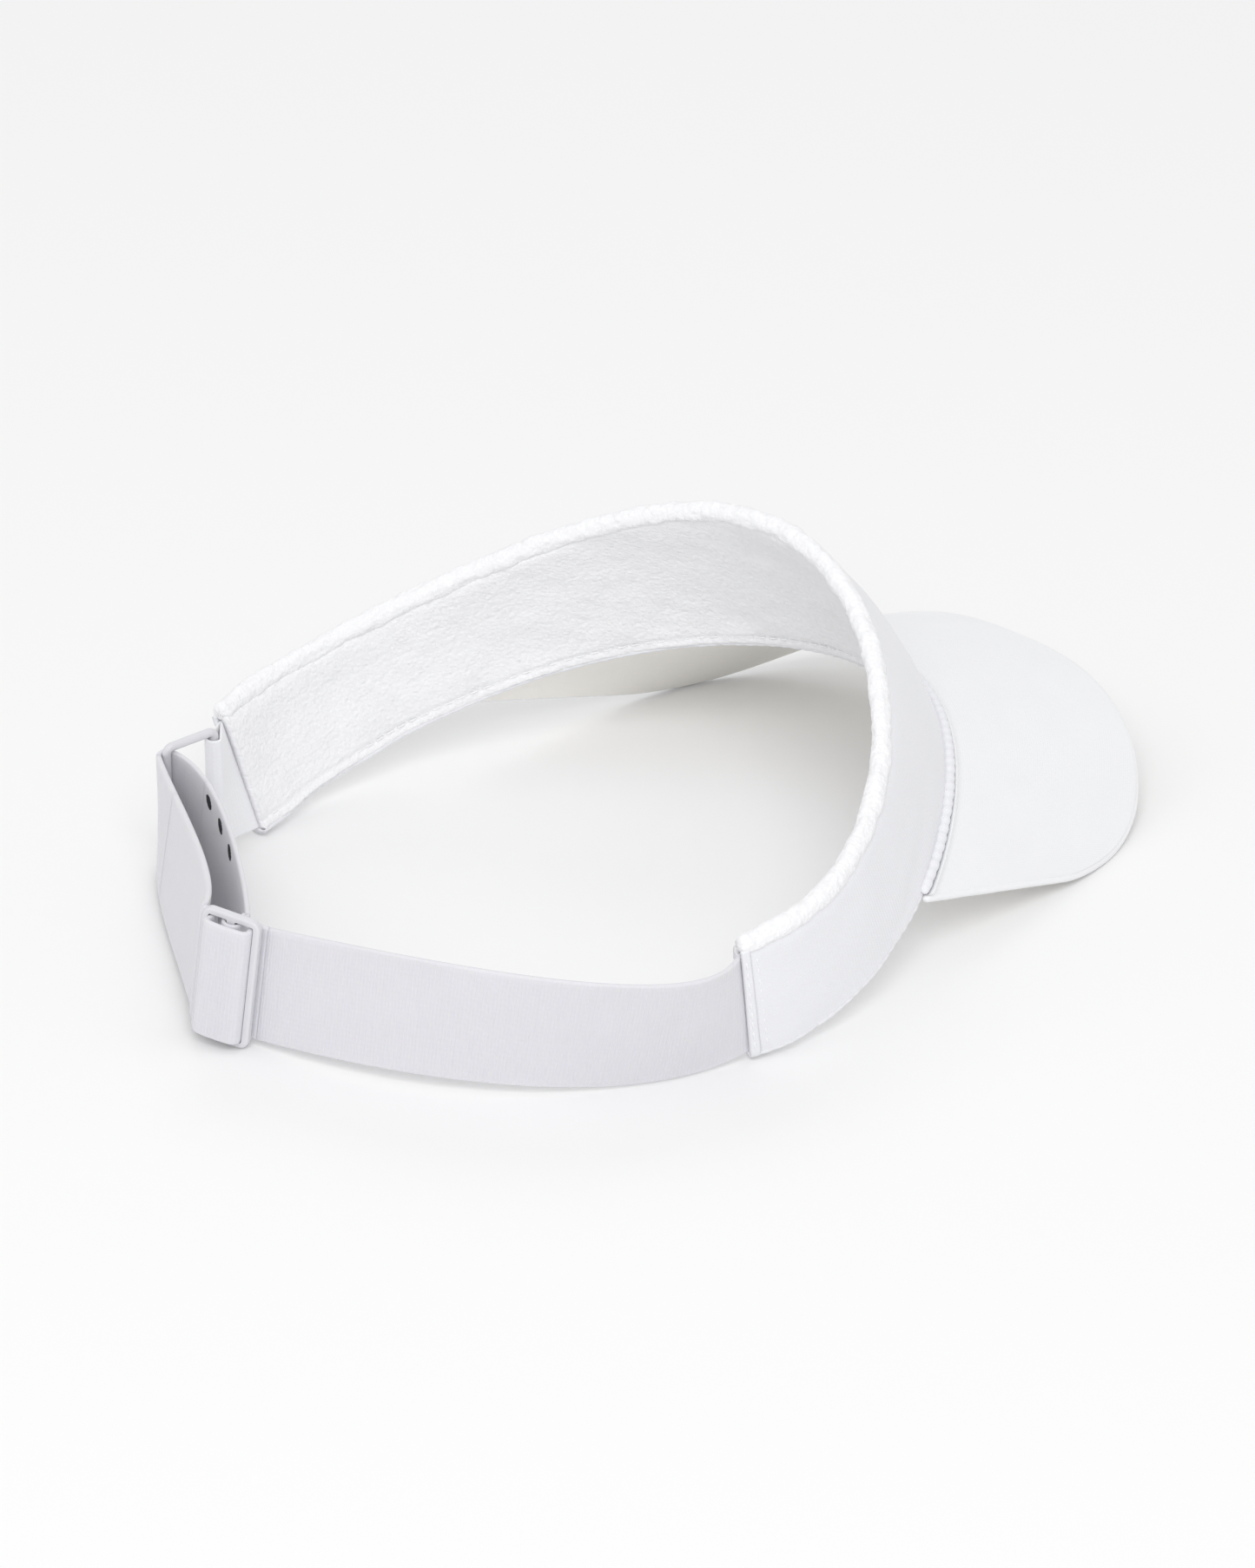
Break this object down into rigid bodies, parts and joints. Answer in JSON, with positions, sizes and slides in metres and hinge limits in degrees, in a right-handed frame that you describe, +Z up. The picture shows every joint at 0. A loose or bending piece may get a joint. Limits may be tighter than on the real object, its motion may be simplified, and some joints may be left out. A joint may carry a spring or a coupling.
{
  "type": "tennis sun visor headband",
  "caption": "Open-topped sun visor for racket sports: padded crown band, curved brim in front, and an adjustable elastic strap behind that runs through a slider and a ring.",
  "frame": {"origin": "bottom centre of the whole visor's bounding box, on the table it stands on", "axes": "+Z up, -Y towards the brim, +X towards the wearer's left side, where the ring is"},
  "size_m": [0.186, 0.2682, 0.0839],
  "materials": {
    "crown_fabric": "smooth microfibre weave",
    "interlining": "non-woven stiffener",
    "terry": "looped towelling",
    "thread": "polyester sewing thread",
    "brim_board": "flexible polyethylene board",
    "brim_fabric": "smooth microfibre weave",
    "brim_lining": "plain weave, warm white",
    "elastic": "knitted elastic with fine lengthwise ribs",
    "buckle_plastic": "satin moulded acetal",
    "tab_tape": "thin woven tape",
    "printed_mark": "printed dashes"
  },
  "bodies": {
    "crown": {"crown_shell": "crown_fabric", "crown_interlining": "interlining", "sweatband_terry": "terry", "top_roll": "terry", "bottom_binding": "crown_fabric", "end_hem_right": "crown_fabric", "end_hem_left": "crown_fabric", "hem_stitches": "thread", "end_stitches_right": "thread", "end_stitches_left": "thread", "brim_core": "brim_board", "brim_top_fabric": "brim_fabric", "brim_under_fabric": "brim_lining", "brim_rim_roll": "brim_fabric", "brim_seam_welt": "crown_fabric", "strap_near_run": "elastic", "strap_outer_rear": "elastic", "strap_outer_side": "elastic", "strap_inner_rear": "elastic", "strap_inner_side": "elastic", "size_mark_1": "printed_mark", "size_mark_2": "printed_mark", "size_mark_3": "printed_mark", "ring_tab": "tab_tape"},
    "slider": {"slider_frame": "buckle_plastic", "strap_slider_fold": "elastic", "strap_end_loop": "elastic"},
    "ring": {"ring_frame": "buckle_plastic", "strap_ring_loop": "elastic"}
  },
  "joints": [
    {"name": "slider_travel", "type": "hinge", "parent": "crown", "child": "slider", "pos_m": [0.013, -0.0131, 0.018], "axis": [0, 0, 1], "range_deg": [-8, 20], "deforming": ["strap_near_run", "strap_outer_rear", "strap_inner_rear", "size_mark_1", "size_mark_2", "size_mark_3"]},
    {"name": "ring_swing", "type": "hinge", "parent": "crown", "child": "ring", "pos_m": [0.08184, 0.06332, 0.01925], "axis": [-0.1254, 0.1256, 0.9841], "range_deg": [-12, 12], "deforming": ["strap_outer_side", "strap_inner_side"]}
  ]
}
